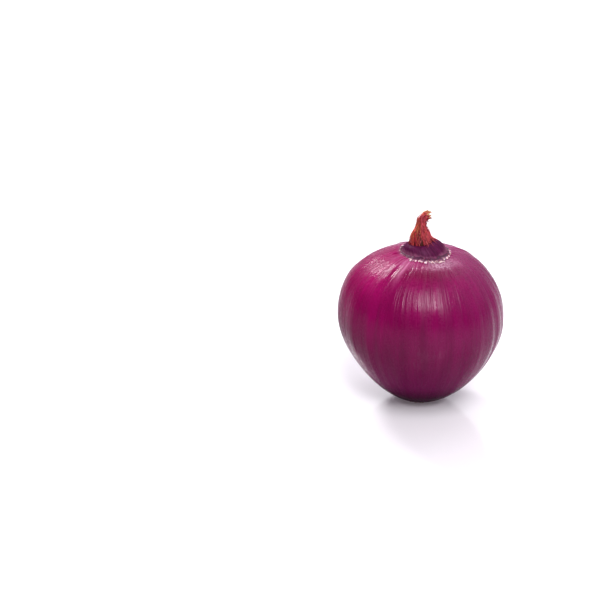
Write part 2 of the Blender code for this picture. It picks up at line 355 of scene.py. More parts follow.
def relief(angle, height):
    """The solids' own relief: how far the skin stands out, fading towards neck and root plate."""
    share = (height - DIMPLE_RIM_HEIGHT) / (LIP_HEIGHT - DIMPLE_RIM_HEIGHT)
    fade = math.sin(math.pi * clamp(share)) ** 0.6
    lobes = sum(depth * math.cos(count * angle + turn) for count, depth, turn in LOBES)
    swayed = angle + RIB_SWAY * math.sin(3 * angle + 0.8) / 3
    strength = clamp(0.55 + 1.2 * ring_noise(spoke(angle), 2.5, 40 + height / (60 * MM)))
    return fade * (lobes + strength * RIB_HEIGHT * math.cos(RIB_COUNT * swayed))


def axis_shift(height):
    """How far the axis has strayed at this height, easing from each knot to the next."""
    if height <= AXIS_KNOTS[0][0]:
        return AXIS_KNOTS[0][1]
    for (low, low_shift), (high, high_shift) in zip(AXIS_KNOTS, AXIS_KNOTS[1:]):
        if height <= high:
            share = (height - low) / (high - low)
            eased = share * share * (3 - 2 * share) if low > 0 else share
            return low_shift + (high_shift - low_shift) * eased
    return AXIS_KNOTS[-1][1]


print("out of round by at most", round(sum(wave[1] for wave in LOBES) / MM, 2), "mm")

# %% [markdown]
# ## Turning the bulb
# The outline is spun a full turn, its seam is merged, and the faces are pointed outwards. Each point
# carries five sets of numbers for the material, which are worked out in the next two steps.

# %% Spin the outline
BULB_SIDES = 540


def spin_round(shape, points, sides):
    """Joins points to a line, spins it round the upright axis, and merges its seam and its poles."""
    geometry = points + [shape.edges.new(pair) for pair in zip(points, points[1:])]
    middle, up = (0, 0, 0), (0, 0, 1)
    bmesh.ops.spin(shape, geom=geometry, cent=middle, axis=up, angle=FULL_TURN, steps=sides, use_merge=True)
    bmesh.ops.remove_doubles(shape, verts=shape.verts, dist=0.005 * MM)


bulb_shape = bmesh.new()
along = bulb_shape.verts.layers.float.new("trail")
LAYERS = ("grain", "shoulder", "zones", "stain_and_light", "highlight_ridge_right")
grain, shoulder, zones, stain_and_light, highlight_ridge_right = (bulb_shape.verts.layers.float_vector.new(name) for name in LAYERS)
points = [bulb_shape.verts.new(point) for point in outline]
for point, distance in zip(points, trail):
    point[along] = distance
spin_round(bulb_shape, points, BULB_SIDES)
face_outwards(bulb_shape)
bulb_shape.normal_update()
print("bulb:", len(bulb_shape.verts), "points,", len(bulb_shape.faces), "faces")

# %% [markdown]
# ## Veins, pleats and creases
# Three sizes of vein lie on the skin. Near the lip they give way to pleats, and single creases run
# down from there, where the skin was pinched: the long ridge and the groove at the front left are in
# the photo, those at the back are guessed. The skin comes down a little round the dimple, because no
# gap shows under the onion. The collar has a hollow at the back left and a hump at the right.
#
# The same loop writes what the material reads later: the place along the veins, as a cosine, a sine
# and a share of the outline, which has no seam, and the distance past the torn lip. When the skin is
# finished, a ray that falls on it from above finds its height at any place.

# %% Veins
PLEAT_REACH = 4.5 * MM
UNDERSIDE_DROP = 0.5 * MM
CREASES = (
    # angle and width in radians, then height, distance down from the lip and reach in millimetres
    (-2.12, 0.085, 0.26, 10, 9),
    (-2.27, 0.030, -0.22, 9, 7),
    (-2.22, 0.022, -0.17, 26, 17),
    (-2.42, 0.028, 0.16, 4, 4),
    (-1.86, 0.022, -0.14, 4, 5),
    (-2.62, 0.022, 0.22, 2, 2.4),
    (-2.80, 0.020, 0.20, 2, 2.6),
    (-2.98, 0.022, 0.22, 2, 2.2),
    (-0.62, 0.030, 0.16, 11, 9),
    (1.30, 0.030, 0.22, 9, 7),
    (2.60, 0.035, 0.20, 12, 8),
    (0.42, 0.045, 0.30, 8, 8),
    (0.50, 0.020, -0.20, 20, 15),
    (2.02, 0.050, 0.32, 10, 9),
    (2.10, 0.022, -0.18, 22, 14),
)


def veins(outward, height, radius):
    """Ribs of three widths that follow the meridians. They get shallower where the bulb narrows."""
    level = height / MM
    wide = 0.26 * MM * ring_noise(outward, 9, 0.010 * level + 2)
    middle = 0.09 * MM * ring_noise(outward, 20, 0.016 * level + 9)
    narrow = 0.03 * MM * ring_noise(outward, 36, 0.025 * level + 15)
    return (wide + middle + narrow) * clamp(radius / BULB_RADIUS, 0.25)


def pleats(outward, past_lip):
    """Short folds of the drying skin, strongest right at the lip and calmer in front."""
    level = past_lip / (9 * MM)
    folds = 0.70 * MM * ring_noise(outward, 9, level + 21) + 0.28 * MM * ring_noise(outward, 19, level + 27)
    return folds * (1 - 0.75 * bell(outward.y, -1, 0.45)) * bell(past_lip, 0, PLEAT_REACH)


def raggedness(outward):
    """How far the torn lip strays from a circle. The frill of torn skin follows it too."""
    return ring_noise(outward, 6, 4) + 0.6 * ring_noise(outward, 16, 7)


for vert in bulb_shape.verts:
    radius = math.hypot(vert.co.x, vert.co.y)
    angle = math.atan2(vert.co.y, vert.co.x)
    height = vert.co.z
    past_lip = vert[along] - lip_trail
    in_seat = radius < SEAT_RADIUS + 0.01 * MM and height > LIP_HEIGHT
    on_seat_floor = in_seat and height < SEAT_HEIGHT - 0.5 * SEAT_DEPTH
    outward = spoke(angle)
    normal = vert.normal.copy()
    ragged = raggedness(outward)
    vert.co.x += axis_shift(SEAT_HEIGHT if in_seat else height)
    if past_lip < 0.01 * MM and height > DIMPLE_RIM_HEIGHT:
        vert.co += outward * relief(angle, height) * clamp(-past_lip / (2 * MM))
        quiet_base = clamp(vert[along] / (62 * MM) - 0.12)
        away_from_lip = 1 - bell(past_lip, 0, PLEAT_REACH)
        vert.co += normal * veins(outward, height, radius) * quiet_base * away_from_lip
        vert.co += normal * pleats(outward, past_lip) * clamp(-past_lip / (0.5 * MM), 0.35)
        for middle, half_width, crest, down, reach in CREASES:
            sideways = bell(turn_between(angle, middle) * radius, 0, half_width * 18 * MM)
            vert.co += normal * (crest * MM) * sideways * bell(past_lip, -down * MM, reach * MM)
        vert.co.z -= UNDERSIDE_DROP * bell(radius, DIMPLE_RADIUS + 0.8 * MM, 4.2 * MM)
        edge = bell(past_lip, 0, 0.7 * MM)
        vert.co += edge * (outward * ragged * 0.35 * MM + normal * abs(ragged) * 0.2 * MM)
    elif not on_seat_floor:
        share = (height - LIP_HEIGHT) / (SEAT_HEIGHT - LIP_HEIGHT)
        swell = math.sin(math.pi * clamp(share))
        vert.co.z += COLLAR_HUMP * clamp(share) * math.cos(angle / 2) ** 4
        vert.co.z -= near(angle, 158, 0.95) * (0.9 * swell + 0.5 * clamp(share)) * MM
        vert.co.z += 0.65 * MM * (bell(turn_between(angle, -0.15), 0, 0.55) * bell(share, 0.85, 0.30))
        bumps = 0.30 * MM * ring_noise(outward, 8, 31) + 0.16 * MM * ring_noise(outward, 15, 35)
        vert.co += normal * swell * bumps
    vert[grain] = Vector((outward.x, outward.y, vert[along] / trail[-1]))
    vert[shoulder] = Vector((past_lip / MM, ragged, radius / MM))
face_outwards(bulb_shape)
skin_tree = BVHTree.FromBMesh(bulb_shape)


def skin_height(place):
    """How high the finished skin lies at this place, straight below a point over the onion."""
    above = Vector((place.x, place.y, 2 * LIP_HEIGHT))
    return skin_tree.ray_cast(above, Vector((0, 0, -1)))[0].z


print("veins follow", len(CREASES), "creases and", BULB_SIDES, "meridians")

# %% [markdown]
# ## Patches of colour and painted light
# A real skin is never one colour. Just right of the middle the scale below the torn edge is dusty and
# pale, at the left it is rubbed, and a deep patch lies between them. The dusty patch also paints the
# sheen of a light above it, and the rubbed one paints the highlight at the upper left. Each patch is a
# direction, in degrees from the onion's right side, with a width, and a distance down from the lip. The
# fainter patches at the back are guessed. The collar is dark, and its edge is bruised. Its front has a
# painted highlight, and the upper part of the left side has painted light.

# %% Patches
for vert in bulb_shape.verts:
    outward = Vector((vert[grain].x, vert[grain].y, 0))
    angle = math.atan2(outward.y, outward.x)
    down = -vert[shoulder].x
    ragged_edge = 2.2 * ring_noise(outward, 9, 95) + 1.2 * ring_noise(outward, 24, 97)
    # The dusty patch also paints the sheen of the light from above at the right.
    dusty_and_sheen = clamp(near(angle, -71, 0.30, 0.56) + 0.4 * near(angle, 118, 0.50))
    dusty_and_sheen *= clamp((10.0 + ragged_edge - down) / 3.0) * clamp(down / 0.8)
    # The rubbed patch also carries a painted highlight at the upper left.
    rubbed_and_lit = near(angle, -128, 0.60, 0.36) + 0.8 * near(angle, 35, 0.45)
    rubbed_and_lit *= clamp((11 - down) / 6) * clamp(down / 1.0)
    deep = near(angle, -92, 0.75) * bell(down, 11.5, 4.0)
    vert[zones] = Vector((dusty_and_sheen, rubbed_and_lit, deep))

    in_front = near(angle, -75, 0.85)
    wobble = 0.5 * ring_noise(outward, 14, 85) + 0.35 * ring_noise(outward, 31, 89)
    fade_start = 0.9 - 0.9 * in_front + 0.8 * near(angle, -165, 0.7) + wobble
    dark = clamp((-down - fade_start) / (2.4 - 1.5 * in_front))
    bruised = clamp(1 - abs(-down + 0.7) / (1.6 - 0.5 * in_front))
    # The third number marks the left side: painted light on its upper part, and a duller gloss.
    vert[stain_and_light] = Vector((dark * dark * (3 - 2 * dark), bruised, near(angle, -170, 0.95)))

    # Painted highlight on the front of the collar.
    painted_collar_highlight = near(angle, -92, 0.38) * bell(-down, 2.6, 1.4)
    on_ridge = bell(turn_between(angle, -2.11) * vert[shoulder].z, 0, 1.1) * bell(down, 9, 7) * clamp(down)
    vert[highlight_ridge_right] = Vector((painted_collar_highlight, on_ridge, near(angle, -12, 0.80)))
print("patches written to", len(bulb_shape.verts), "points")

# %% [markdown]
# ## The skin
# The fresh scale under the dry skin is thin and waxy. Light goes a little way into it, its colour runs
# in streaks along the veins, and it is duller where the wax has rubbed. The veins come from noise that
# is stretched along the meridians: it reads the cosine and sine of the angle, so it closes without a
# seam and draws together at both ends, as the veins do.


# %% Helpers for materials
def stretched_noise(source, along_scale, scale, detail=2.0, roughness=0.5, shift=(0.0, 0.0, 0.0)):
    """Noise whose marks are long in the source's third direction. A smaller along_scale is longer."""
    tree = source.id_data
    inputs = {"Vector": source, "Scale": (1.0, 1.0, along_scale), "Location": shift}
    stretched = add_node(tree, "Mapping", inputs).outputs["Vector"]
    inputs = {"Vector": stretched, "Scale": scale, "Detail": detail, "Roughness": roughness}
    return add_node(tree, "TexNoise", inputs).outputs["Fac"]


def mixed(amount, first, second, blend="MIX"):
    """Blends two colours. Each is a socket or three plain numbers, and the amount may be a number."""
    values = [value if not isinstance(value, tuple) else (*value, 1.0) for value in (first, second)]
    tree = next(value.id_data for value in (amount, *values) if isinstance(value, bpy.types.NodeSocket))
    inputs = {0: amount, 6: values[0], 7: values[1]}
    return add_node(tree, "Mix", inputs, data_type="RGBA", blend_type=blend).outputs[2]


def layered(colour, *layers):
    """Lays more colours over a first one. Each layer has the amount that covers and its colour."""
    for amount, cover in layers:
        colour = mixed(amount, colour, cover)
    return colour


def attribute(tree, name):
    """What was written to each point of a piece under this name."""
    return add_node(tree, "Attribute", {}, attribute_name=name).outputs["Vector"]


def bumped(height, strength, distance):
    """A relief that is too fine for the mesh, as the direction in which the surface faces."""
    inputs = {"Height": height, "Strength": strength, "Distance": distance}
    return add_node(height.id_data, "Bump", inputs).outputs["Normal"]

# %% Patterns on the skin
skin, shader, tree = new_material("onion_skin")
vein_place = attribute(tree, "grain")
height_share = parts_of(vein_place)["Z"]
past_lip_mm, _, from_axis_mm = parts_of(attribute(tree, "shoulder"))
dust_and_sheen_zone, rubbed_and_lit_zone, deep_zone = parts_of(attribute(tree, "zones"))
dark_zone, bruised_zone, left_zone = parts_of(attribute(tree, "stain_and_light"))
collar_highlight_zone, ridge_zone, right_zone = parts_of(attribute(tree, "highlight_ridge_right"))
where = object_place(tree)

broad = stretched_noise(vein_place, 0.5, 4.0)
middling = stretched_noise(vein_place, 0.22, 13.0, shift=(3.0, 1.0, 0.0))
fine = stretched_noise(vein_place, 0.10, 40.0, detail=3.0, shift=(7.0, 2.0, 5.0))
hair = stretched_noise(vein_place, 0.06, 95.0, shift=(1.0, 5.0, 2.0))
cloud = stretched_noise(where, 1.0, 60.0, detail=3.0)
speckle = stretched_noise(where, 1.0, 1150.0, detail=3.0)
dents = stretched_noise(where, 0.6, 270.0, shift=(4.0, 2.0, 1.0))

# %% Colour of the skin
streaks = plus(times(broad, 0.5), times(middling, 0.38), times(fine, 0.12))
streaks = ranged(streaks, 0.38, 0.62)
belly_colour = mixed(streaks, (0.098, 0.0010, 0.038), (0.147, 0.0022, 0.058))
upper_colour = mixed(streaks, (0.235, 0.0036, 0.088), (0.325, 0.0058, 0.124))
upper = times(ranged(height_share, 0.42, 0.80, smooth=True), ranged(cloud, 0.3, 0.7, 0.3, 0.8))
# Painted light: the lower belly turns more violet and a little lighter, like light bouncing up from the white
# table.
low = ranged(height_share, 0.22, 0.48, 0.7, 0.0, smooth=True)
# Painted shade: the skin turns almost black towards the root, under the onion where shade falls.
painted_base_shade = ranged(height_share, 0.16, 0.31, 0.95, 0.0, smooth=True)
pores = times(ranged(speckle, 0.32, 0.46, 1.0, 0.0), ranged(height_share, 0.55, 0.80, 0.0, 0.55))
colour = layered(
    belly_colour,
    (upper, upper_colour),
    (deep_zone, (0.140, 0.0012, 0.041)),
    (low, (0.130, 0.0018, 0.068)),
    (painted_base_shade, (0.036, 0.0006, 0.019)),
    (pores, (0.075, 0.0010, 0.028)),
)

# %% Dust, scuffs, ridge, bruises, painted highlights and painted light
mottle = plus(times(speckle, 0.78), times(fine, 0.22))
# Pale dust below the torn edge at the right, which also paints the sheen of the light above it.
dust_and_sheen = times(ranged(mottle, 0.41, 0.55, 0.22, 1.0), dust_and_sheen_zone)
# Pale scuffs of rubbed wax, which also paint the highlight on the upper left.
scuffs_and_highlight = times(ranged(fine, 0.47, 0.60, 0.0, 0.85), rubbed_and_lit_zone)
# Lighter colour on the right side, above the lower belly.
right_side = times(right_zone, ranged(height_share, 0.18, 0.36, 0.0, 0.6))
ridge = times(ridge_zone, ranged(fine, 0.40, 0.62, 0.35, 0.85))
# Painted light: the upper part of the left side is lighter, as if a lamp shone on it from the left.
painted_light_upper_left = times(left_zone, ranged(height_share, 0.45, 0.68, 0.0, 0.27))
bruises = times(bruised_zone, ranged(hair, 0.38, 0.60, 0.45, 0.95))
colour = layered(
    colour,
    (dust_and_sheen, (0.46, 0.255, 0.35)),
    (scuffs_and_highlight, (0.48, 0.17, 0.33)),
    (right_side, (0.195, 0.0060, 0.088)),
    (ridge, (0.42, 0.13, 0.26)),
    (painted_light_upper_left, (0.37, 0.0030, 0.104)),
    (bruises, (0.27, 0.090, 0.170)),
)

# %% Collar
collar_streaks = ranged(fine, 0.35, 0.65)
collar_edge = mixed(collar_streaks, (0.16, 0.045, 0.095), (0.24, 0.080, 0.150))
collar_dark = mixed(collar_streaks, (0.062, 0.004, 0.034), (0.105, 0.011, 0.058))
# Painted highlight: a pale patch on the front of the collar.
collar_highlight_amount = times(ranged(hair, 0.42, 0.60, 0.0, 0.28), collar_highlight_zone)
collar_colour = layered(collar_edge, (dark_zone, collar_dark), (collar_highlight_amount, (0.23, 0.115, 0.190)))
colour = layered(colour, (ranged(past_lip_mm, -0.05, 0.35), collar_colour))

# %% Gloss and relief of the skin
wax = plus(times(fine, 0.50), times(middling, 0.50))
roughness = plus(
    times(ranged(wax, 0.40, 0.60, 0.38, 0.17), ranged(height_share, 0.15, 0.45, 0.6, 1.0)),
    ranged(speckle, 0.35, 0.65, -0.05, 0.07),
    ranged(past_lip_mm, -1.0, 0.5, 0.0, 0.28),
    times(ridge_zone, 0.16),
    times(rubbed_and_lit_zone, 0.09),
)
mirror = ranged(height_share, 0.20, 0.60, 0.02, 0.60, smooth=True)
mirror = times(mirror, ranged(past_lip_mm, -0.4, 0.8, 1.0, 0.35))
mirror = times(mirror, ranged(left_zone, 0.0, 1.0, 1.0, 0.3))
vein_height = plus(fine, times(middling, 1.1), times(dents, 0.40), times(hair, 0.25), times(speckle, 0.10))
narrowing = times(ranged(from_axis_mm, 11.5, 18.0, 0.10, 1.0), ranged(height_share, 0.38, 0.60, 0.12, 1.0))
fill(shader, {
    "Base Color": colour,
    "Roughness": roughness,
    "Specular IOR Level": mirror,
    "IOR": 1.31,
    "Subsurface Weight": 0.05,
    "Subsurface Radius": (1.0, 0.15, 0.35),
    "Subsurface Scale": 2 * MM,
    "Normal": bumped(times(vein_height, narrowing), 1.0, 0.21 * MM),
})

bulb = add_piece("bulb_skin", bulb_shape, skin)
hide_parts("bulb")
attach(bulb, "root")
print("skin material:", len(tree.nodes), "nodes")

# %% [markdown]
# ## The torn edge of the dry skin
# The papery outer skins were peeled off by hand. They tore at the shoulder and left a frill of pale,
# dried skin round the collar. It starts as a circle, which is extruded a few times. Each row is laid
# a little above the finished skin, and noise ruffles it and sets how far it reaches. The drying edge
# has drawn itself into small loops, the pale beads of the photo. Faces past the tear are deleted, and
# solidify gives the sheet its thickness.

# %% Torn frill
FRILL_SIDES = 640
FRILL_ROWS = 12
FRILL_THICKNESS = 0.09 * MM
FRILL_LOOPS = 70
EDGE_START = 0.48


def new_shape():
    """An empty bmesh, and the look that its points will carry for the material."""
    shape = bmesh.new()
    return shape, shape.verts.layers.float_vector.new("look")


def thicken(shape, thickness):
    """Turns a sheet into a closed body."""
    face_outwards(shape)
    bmesh.ops.solidify(shape, geom=shape.faces[:], thickness=thickness)


def frill_reach(outward, angle):
    """How far the torn skin reaches out from the collar here, in metres. It is longest in front."""
    longest = 0.85 + 4.4 * near(angle, -80, 0.82)
    ragged = 0.95 + 0.40 * ring_noise(outward, 7, 51) + 0.30 * ring_noise(outward, 27, 55)
    return (clamp(longest * ragged, 0.25, 5.2) + 1.4 * near(angle, -120, 0.05)) * MM


def edge_loops(outward, angle):
    """The small loops into which the drying edge draws itself, between minus and plus one."""
    uneven = clamp(0.5 + 1.7 * ring_noise(outward, 8, 83))
    return uneven * math.cos(FRILL_LOOPS * angle + 11.0 * ring_noise(outward, 6, 81))


frill, frill_look = new_shape()
circle = bmesh.ops.create_circle(frill, radius=LIP_RADIUS, segments=FRILL_SIDES)
rows = [circle["verts"]]
edges = list(frill.edges)
for number in range(FRILL_ROWS):
    grown = bmesh.ops.extrude_edge_only(frill, edges=edges)["geom"]
    edges = [item for item in grown if isinstance(item, bmesh.types.BMEdge)]
    rows.append([item for item in grown if isinstance(item, bmesh.types.BMVert)])
past_tear = []
for number, row in enumerate(rows):
    share = number / FRILL_ROWS
    edge_share = clamp((share - EDGE_START) / (1 - EDGE_START))
    for vert in row:
        angle = math.atan2(vert.co.y, vert.co.x)
        outward = spoke(angle)
        reach = frill_reach(outward, angle)
        looped = edge_loops(outward, angle)
        ruffle = 0.8 * looped + 0.9 * ring_noise(outward, 15, 61) + 0.5 * ring_noise(outward, 33, 67)
        out = LIP_RADIUS - 0.45 * MM + raggedness(outward) * 0.35 * MM
        out += reach * (share - 0.10 * edge_share**2)
        lifted = 0.02 + 0.16 * clamp(4 * share) + 0.08 * ring_noise(outward, 21, 3 * share)
        lifted += edge_share * (0.04 + 0.11 * ruffle * edge_share) + 0.14 * edge_share**3
        vert.co = outward * (out + 0.12 * MM * ruffle * edge_share)
        vert.co.z = skin_height(vert.co) + max(lifted, 0.02) * MM
        vert[frill_look] = Vector((edge_share * clamp(reach / (1.8 * MM) - 0.25, 0.45), ruffle, share))
        torn = 0.6 * ring_noise(outward, 13, 71) - 0.45 * looped + 0.35 * edge_share
        if edge_share > 0.2 and torn > 0.44:
            past_tear.append(vert)
bmesh.ops.delete(frill, geom=past_tear, context="VERTS")
thicken(frill, FRILL_THICKNESS)
print("torn frill:", len(frill.verts), "points,", len(past_tear), "torn away")

# %% [markdown]
# ## Dry strips
# Withered leaf sheath falls apart into flat strips along its veins. One helper makes them all: it lays
# a small grid along a path, with its back turned to a given side, and cups and tapers it. Many strips
# share one mesh, and solidify gives them all their thickness at the end.


# %% Strip helper
strips, strip_look = new_shape()


def lay_strip(path, facing, breadth, cup, finish, taper=0.6, columns=4):
    """One strip along a path. It faces one way, or a way of its own at each point of the path. Its
    tint, its place along and its rosiness go into the look attribute."""
    last = len(path) - 1
    made = bmesh.ops.create_grid(strips, x_segments=columns, y_segments=last, size=0.5)
    for vert in made["verts"]:
        across, up = 2 * vert.co.x, vert.co.y + 0.5
        number = round(up * last)
        ahead = path[min(number + 1, last)] - path[max(number - 1, 0)]
        back = facing[number] if isinstance(facing, list) else facing
        side = ahead.cross(back).normalized()
        uneven = 0.85 + 0.3 * noise.noise(path[number] / (1.1 * MM))
        half = 0.5 * breadth * (1 - taper * up * up) * uneven
        vert.co = path[number] + side * across * half - back * cup * across * across * half
        vert[strip_look] = Vector((finish[0], up, finish[1]))


def along_curve(knots, count):
    """Evenly numbered points on a smooth curve through four handles or more, in groups of three."""
    points = [knots[0]]
    for start in range(0, len(knots) - 1, 3):
        points += interpolate_bezier(*knots[start : start + 4], count)[1:]
    return points

# %% [markdown]
# ## The withered neck
# All leaves of the onion end in its neck. As it dries it shrinks to a twisted, fluted stalk that leans
# over and frays at the tip. The centre line, the width and the twist are those of the solid. First
# comes a dark core with a hollow end, then the sheath strips that wrap it.

# %% Neck centre line
NECK_FOOT_RADIUS = 5.0 * MM
NECK_WAIST_RADIUS = 1.75 * MM
NECK_WAIST_SHARE = 0.46
NECK_RISE = 9.2 * MM
NECK_TIP_LIFT = 4.2 * MM
NECK_TIP_REACH = 3.4 * MM
NECK_TWIST = 0.17
JOINT_GAP = 0.3 * MM
neck_foot = Vector((axis_shift(SEAT_HEIGHT), 0, SEAT_HEIGHT - SEAT_DEPTH + JOINT_GAP))
NECK_KNOTS = (
    Vector((0, 0, 0)),
    Vector((-0.3 * MM, 0, NECK_RISE)),
    Vector((-0.7 * MM, 0, NECK_RISE + NECK_TIP_LIFT)),
    Vector((NECK_TIP_REACH, 0, NECK_RISE + NECK_TIP_LIFT - 0.3 * MM)),
)


def neck_centre(share):
    """A point on the neck's centre line, from its foot (0) up the shaft and over to its tip (1)."""
    rest = 1 - share
    weights = (rest**3, 3 * rest * rest * share, 3 * rest * share * share, share**3)
    return neck_foot + sum((knot * weight for knot, weight in zip(NECK_KNOTS, weights)), Vector())


def neck_radius(share):
    """Wide at the foot, drawn in to a waist, and swollen a little again at the frayed tip."""
    drawn_in = 0.5 + 0.5 * math.cos(math.pi * clamp(share / NECK_WAIST_SHARE))
    swollen = 0.12 * math.sin(math.pi * clamp((share - 0.75) / 0.25))
    return NECK_WAIST_RADIUS * (1 + swollen) + (NECK_FOOT_RADIUS - NECK_WAIST_RADIUS) * drawn_in


def ring_place(share):
    """The matrix that lays a flat ring square across the neck's centre line."""
    ahead = (neck_centre(share + 0.01) - neck_centre(share - 0.01)).normalized()
    side = Vector((0, 1, 0))
    turn = Matrix((side.cross(ahead).normalized(), side, ahead)).transposed().to_4x4()
    return Matrix.Translation(neck_centre(share)) @ turn


print("neck from", round(neck_foot.z / MM, 1), "to", round(neck_centre(1).z / MM, 1), "mm")

# %% Core of the neck
CORE_SIDES = 108
CORE_RINGS = 46
CORE_END = 0.95
CORE_SHARE_OF_NECK = 0.80
neck, neck_look = new_shape()


def edges_of(verts):
    """The edges of a ring, given its points."""
    return list({edge for vert in verts for edge in vert.link_edges})


def join_rings(shape, rings):
    """Bridges each ring of edges to the next one and closes both ends."""
    for lower, upper in zip(rings, rings[1:]):
        bmesh.ops.bridge_loops(shape, edges=lower + upper)
    bmesh.ops.holes_fill(shape, edges=rings[0] + rings[-1], sides=0)


def core_ring(share, narrowing):
    """One fluted ring of the core."""
    verts = bmesh.ops.create_circle(neck, radius=1.0, segments=CORE_SIDES)["verts"]
    place = ring_place(share)
    radius = neck_radius(share) * CORE_SHARE_OF_NECK * narrowing
    depth = 0.13 * clamp((share - 0.05) / 0.1)
    for vert in verts:
        angle = math.atan2(vert.co.y, vert.co.x) + NECK_TWIST * FULL_TURN * share
        pleat = math.cos(9 * angle) + 0.5 * math.cos(3 * angle + 1.0)
        pleat += 2.0 * ring_noise(spoke(angle), 5, share * 3)
        vert.co = place @ (vert.co * radius * (1 + depth * pleat))
        # Painted shade: the core is darker in the valleys of its flutes and lighter on their ridges.
        vert[neck_look] = Vector((0.12 + 0.18 * clamp(pleat * 0.5), share, 0.0))
    return edges_of(verts)


core_rings = [core_ring(CORE_END * number / (CORE_RINGS - 1), 1.0) for number in range(CORE_RINGS)]
core_rings += [core_ring(CORE_END - 0.01, 0.72), core_ring(CORE_END - 0.07, 0.5)]
join_rings(neck, core_rings)
face_outwards(neck)
print("neck core:", len(neck.verts), "points")

# %% Strips round the neck
WIDE_STRIPS, LONG_STRIPS, NARROW_STRIPS, THIN_STRIPS = 24, 14, 70, 46
draw = random.Random(23)


def spread_round(count, stray):
    """Angles all the way round, each strayed a little from its even place."""
    for number in range(count):
        yield FULL_TURN * (number + draw.uniform(-stray, stray)) / count


def neck_strip(turn, bottom, top, breadth, lift, bow, finish, peel=0.0, wander=0.15, steps=22):
    """A strip that follows the neck, with its measures in millimetres. Lift is its distance from the
    core, bow how far it bellies out, peel how far its upper end stands off, and wander how much it
    strays sideways."""
    breadth, lift, bow, peel = breadth * MM, lift * MM, bow * MM, peel * MM
    path, facing = [], []
    for number in range(steps + 1):
        up = number / steps
        share = bottom + (top - bottom) * up
        stray = noise.noise(Vector((turn * 3, 2.2 * up, breadth * 9000)))
        outward = spoke(turn - NECK_TWIST * FULL_TURN * share + wander * stray)
        place = ring_place(share)
        away = neck_radius(share) * (0.86 + 0.08 * bell(share, 0, 0.10)) + lift
        away += bow * math.sin(math.pi * up) ** 2 + peel * up**4
        path.append(place @ (outward * away))
        facing.append((place.to_3x3() @ outward).normalized())
    lay_strip(path, facing, breadth, 0.35, finish)


def finish_at(turn):
    """Tint and rosiness for a strip with its foot at this angle: orange on the left, brown in front,
    rose on the right."""
    degrees = math.degrees(turn) % 360
    if 165 < degrees < 238:
        return draw.uniform(0.56, 0.74), draw.uniform(0.0, 0.25)
    if 238 <= degrees < 292:
        return draw.choice((0.12, 0.20, 0.30, 0.46, 0.52)), draw.uniform(0.0, 0.4)
    if degrees >= 292 or degrees < 30:
        return draw.choice((0.30, 0.42, 0.50, 0.58)), draw.uniform(0.5, 1.0)
    return draw.uniform(0.25, 0.66), draw.uniform(0.0, 0.6)


for turn in spread_round(WIDE_STRIPS, 0.35):
    neck_strip(turn, 0.01, draw.uniform(0.20, 0.62), draw.uniform(0.9, 2.0), draw.uniform(0, 0.3),
               draw.uniform(0, 0.35), finish_at(turn), peel=draw.choice((0, 0, 0.3, 0.7)))
for turn in spread_round(LONG_STRIPS, 0.3):
    finish = (draw.uniform(0.28, 0.50), draw.uniform(0.3, 0.9))
    neck_strip(turn, draw.uniform(0.10, 0.34), draw.uniform(0.84, 1.04), draw.uniform(0.7, 1.5),
               draw.uniform(0.0, 0.3), draw.uniform(0, 0.15), finish, peel=draw.uniform(0, 0.3), steps=30)
for number in range(NARROW_STRIPS):
    turn = draw.uniform(0, FULL_TURN)
    tint, rosy = finish_at(turn)
    finish = (clamp(tint + draw.choice((-0.2, 0.05, 0.15, 0.3)), 0.05, 0.95), rosy)
    bottom = draw.choice((0.0, 0.02, 0.1, 0.25))
    neck_strip(turn, bottom, bottom + draw.uniform(0.25, 0.7), draw.uniform(0.14, 0.36),
               draw.uniform(0.25, 0.55), draw.uniform(-0.1, 0.45), finish,
               peel=draw.choice((0, 0, 0.4, 0.9)), wander=0.35)
for number in range(THIN_STRIPS):
    turn = math.radians(draw.choice((draw.uniform(236, 300), draw.uniform(150, 240), draw.uniform(0, 360))))
    finish = (draw.choice((0.06, 0.14, 0.34, 0.62, 0.84)), draw.uniform(0.0, 0.3))
    bottom = draw.uniform(0.0, 0.30)
    neck_strip(turn, bottom, bottom + draw.uniform(0.2, 0.45), draw.uniform(0.10, 0.20),
               draw.uniform(0.45, 0.75), draw.uniform(0.0, 0.6), finish,
               peel=draw.uniform(0.0, 0.7), wander=0.7)
print("strips round the neck:", len(strips.verts), "points")

# %% [markdown]
# ## Loose strips and the frayed tip
# A few strips have come loose. The largest stands off to the left and curls back to the stalk. Others
# are short scraps that lean away from the foot, at the same places as in the solid. Fine strands
# spill over the collar, most of them at the right, and end on the skin that a ray finds below them. At
# the tip the strips end in short fibres, and golden strands lie over its upper side.

# %% Loose strips
SCRAPS = (
    # angle in degrees, height, breadth and lean in millimetres, tint and rosiness
    (235, 4.4, 2.0, 0.8, (0.70, 0.0)),
    (285, 5.2, 1.8, 0.9, (0.20, 0.2)),
    (340, 6.0, 2.2, 1.3, (0.50, 0.9)),
    (28, 4.6, 2.4, 1.5, (0.58, 0.6)),
    (84, 5.8, 2.6, 1.0, (0.62, 0.2)),
    (138, 4.2, 2.4, 1.7, (0.50, 0.3)),
)
for degrees, height, breadth, lean, finish in SCRAPS:
    height, breadth, lean = height * MM, breadth * MM, lean * MM
    outward = spoke(math.radians(degrees))
    knots = [
        neck_foot + outward * 4.5 * MM,
        neck_foot + outward * 4.7 * MM + Vector((0, 0, SEAT_DEPTH + 0.35 * height)),
        neck_foot + outward * (2.2 * MM + lean) + Vector((0, 0, SEAT_DEPTH + 0.6 * height)),
        neck_foot + outward * (2.0 * MM + lean) + Vector((0, 0, SEAT_DEPTH + height)),
    ]
    lay_strip(along_curve(knots, 18), outward, breadth, 0.5, finish, taper=0.75)

